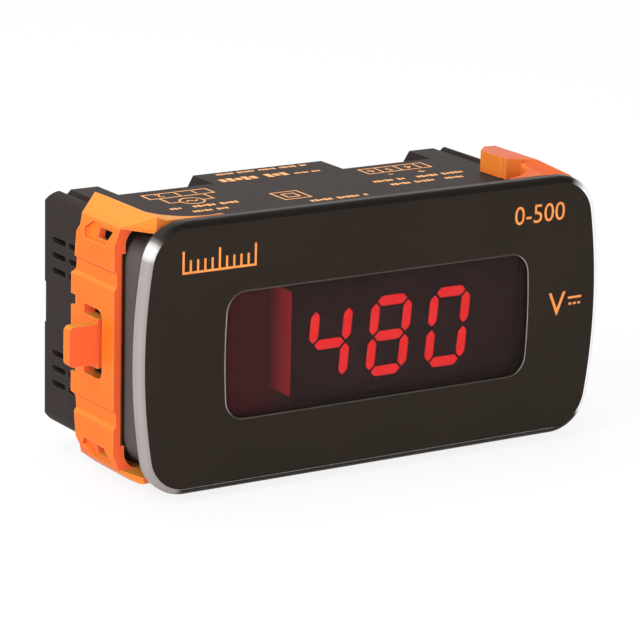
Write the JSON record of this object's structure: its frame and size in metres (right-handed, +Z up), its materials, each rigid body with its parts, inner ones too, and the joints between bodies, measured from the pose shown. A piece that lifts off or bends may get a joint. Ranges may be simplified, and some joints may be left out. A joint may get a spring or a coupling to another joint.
{
  "type": "digital panel meter",
  "caption": "Black digital panel meter with a clear rounded front, lit red number display, orange slide-on mounting clips and rear screw terminals.",
  "frame": {"origin": "centre of the bezel's rear face, the plane that rests on the panel", "axes": "+X to the right seen from the front, +Y to the rear through the panel, +Z up"},
  "size_m": [0.1054, 0.0435, 0.0506],
  "materials": {
    "clear_lens": "clear moulded plastic, polished",
    "print_film": "black brown print with orange marks",
    "red_filter": "dark red tinted film",
    "black_plastic": "black moulding, fine spark grain",
    "orange_plastic": "orange moulding, satin",
    "terminal_plastic": "black moulding",
    "display_body": "dark display housing",
    "lit_segment": "lit red",
    "dark_segment": "unlit",
    "circuit_board": "green board",
    "core_steel": "stacked sheet edges",
    "white_plastic": "moulded",
    "copper": "enamelled wire",
    "capacitor_sleeve": "shrunk sleeve",
    "resistor_coat": "lacquer",
    "chip_epoxy": "moulded epoxy",
    "screw_steel": "zinc plated",
    "cage_steel": "zinc plated",
    "brass": "tinned brass"
  },
  "bodies": {
    "meter": {"front_lens": "clear_lens", "facia_film": "print_film", "red_filter": "red_filter", "bezel_frame": "black_plastic", "case": "black_plastic", "display_module": "display_body", "display_board": "circuit_board", "left_digit_lit": "lit_segment", "left_digit_dark": "dark_segment", "middle_digit_lit": "lit_segment", "right_digit_lit": "lit_segment", "right_digit_dark": "dark_segment", "decimal_points": "dark_segment", "main_board": "circuit_board", "pin_header": "black_plastic", "transformer_core": "core_steel", "transformer_bobbin": "white_plastic", "transformer_winding": "copper", "supply_capacitor": "capacitor_sleeve", "filter_capacitor": "capacitor_sleeve", "input_resistors": "resistor_coat", "controller_chip": "chip_epoxy", "bridge_rectifier": "chip_epoxy", "left_board_screw": "screw_steel", "right_board_screw": "screw_steel", "left_terminal_block": "terminal_plastic", "right_terminal_block": "terminal_plastic", "left_contact_blades": "brass", "right_contact_blades": "brass"},
    "left_clip": {"left_clip": "orange_plastic"},
    "right_clip": {"right_clip": "orange_plastic"},
    "left_terminal_screw_1": {"left_terminal_screw_1": "screw_steel"},
    "left_terminal_cage_1": {"left_terminal_cage_1": "cage_steel"},
    "left_terminal_screw_2": {"left_terminal_screw_2": "screw_steel"},
    "left_terminal_cage_2": {"left_terminal_cage_2": "cage_steel"},
    "left_terminal_screw_3": {"left_terminal_screw_3": "screw_steel"},
    "left_terminal_cage_3": {"left_terminal_cage_3": "cage_steel"},
    "right_terminal_screw_1": {"right_terminal_screw_1": "screw_steel"},
    "right_terminal_cage_1": {"right_terminal_cage_1": "cage_steel"},
    "right_terminal_screw_2": {"right_terminal_screw_2": "screw_steel"},
    "right_terminal_cage_2": {"right_terminal_cage_2": "cage_steel"},
    "right_terminal_screw_3": {"right_terminal_screw_3": "screw_steel"},
    "right_terminal_cage_3": {"right_terminal_cage_3": "cage_steel"}
  },
  "joints": [
    {"name": "left_clip_slide", "type": "slide", "parent": "meter", "child": "left_clip", "axis": [0, 1, 0], "range_m": [0, 0.015]},
    {"name": "right_clip_slide", "type": "slide", "parent": "meter", "child": "right_clip", "axis": [0, 1, 0], "range_m": [0, 0.015]},
    {"name": "left_terminal_screw_1_turn", "type": "hinge", "parent": "meter", "child": "left_terminal_screw_1", "pos_m": [-0.0299, 0.0329, 0.001], "axis": [0, -1, 0], "range_deg": [0, 1800]},
    {"name": "left_terminal_cage_1_rise", "type": "slide", "parent": "meter", "child": "left_terminal_cage_1", "axis": [0, 1, 0], "range_m": [0, 0.0025]},
    {"name": "left_terminal_screw_2_turn", "type": "hinge", "parent": "meter", "child": "left_terminal_screw_2", "pos_m": [-0.02355, 0.0329, 0.001], "axis": [0, -1, 0], "range_deg": [0, 1800]},
    {"name": "left_terminal_cage_2_rise", "type": "slide", "parent": "meter", "child": "left_terminal_cage_2", "axis": [0, 1, 0], "range_m": [0, 0.0025]},
    {"name": "left_terminal_screw_3_turn", "type": "hinge", "parent": "meter", "child": "left_terminal_screw_3", "pos_m": [-0.0172, 0.0329, 0.001], "axis": [0, -1, 0], "range_deg": [0, 1800]},
    {"name": "left_terminal_cage_3_rise", "type": "slide", "parent": "meter", "child": "left_terminal_cage_3", "axis": [0, 1, 0], "range_m": [0, 0.0025]},
    {"name": "right_terminal_screw_1_turn", "type": "hinge", "parent": "meter", "child": "right_terminal_screw_1", "pos_m": [0.0172, 0.0329, 0.001], "axis": [0, -1, 0], "range_deg": [0, 1800]},
    {"name": "right_terminal_cage_1_rise", "type": "slide", "parent": "meter", "child": "right_terminal_cage_1", "axis": [0, 1, 0], "range_m": [0, 0.0025]},
    {"name": "right_terminal_screw_2_turn", "type": "hinge", "parent": "meter", "child": "right_terminal_screw_2", "pos_m": [0.02355, 0.0329, 0.001], "axis": [0, -1, 0], "range_deg": [0, 1800]},
    {"name": "right_terminal_cage_2_rise", "type": "slide", "parent": "meter", "child": "right_terminal_cage_2", "axis": [0, 1, 0], "range_m": [0, 0.0025]},
    {"name": "right_terminal_screw_3_turn", "type": "hinge", "parent": "meter", "child": "right_terminal_screw_3", "pos_m": [0.0299, 0.0329, 0.001], "axis": [0, -1, 0], "range_deg": [0, 1800]},
    {"name": "right_terminal_cage_3_rise", "type": "slide", "parent": "meter", "child": "right_terminal_cage_3", "axis": [0, 1, 0], "range_m": [0, 0.0025]}
  ],
  "couplings": [
    {"joint": "left_terminal_screw_1_turn", "follows": "left_terminal_cage_1_rise", "rad_per_m": 12566},
    {"joint": "left_terminal_screw_2_turn", "follows": "left_terminal_cage_2_rise", "rad_per_m": 12566},
    {"joint": "left_terminal_screw_3_turn", "follows": "left_terminal_cage_3_rise", "rad_per_m": 12566},
    {"joint": "right_terminal_screw_1_turn", "follows": "right_terminal_cage_1_rise", "rad_per_m": 12566},
    {"joint": "right_terminal_screw_2_turn", "follows": "right_terminal_cage_2_rise", "rad_per_m": 12566},
    {"joint": "right_terminal_screw_3_turn", "follows": "right_terminal_cage_3_rise", "rad_per_m": 12566}
  ]
}
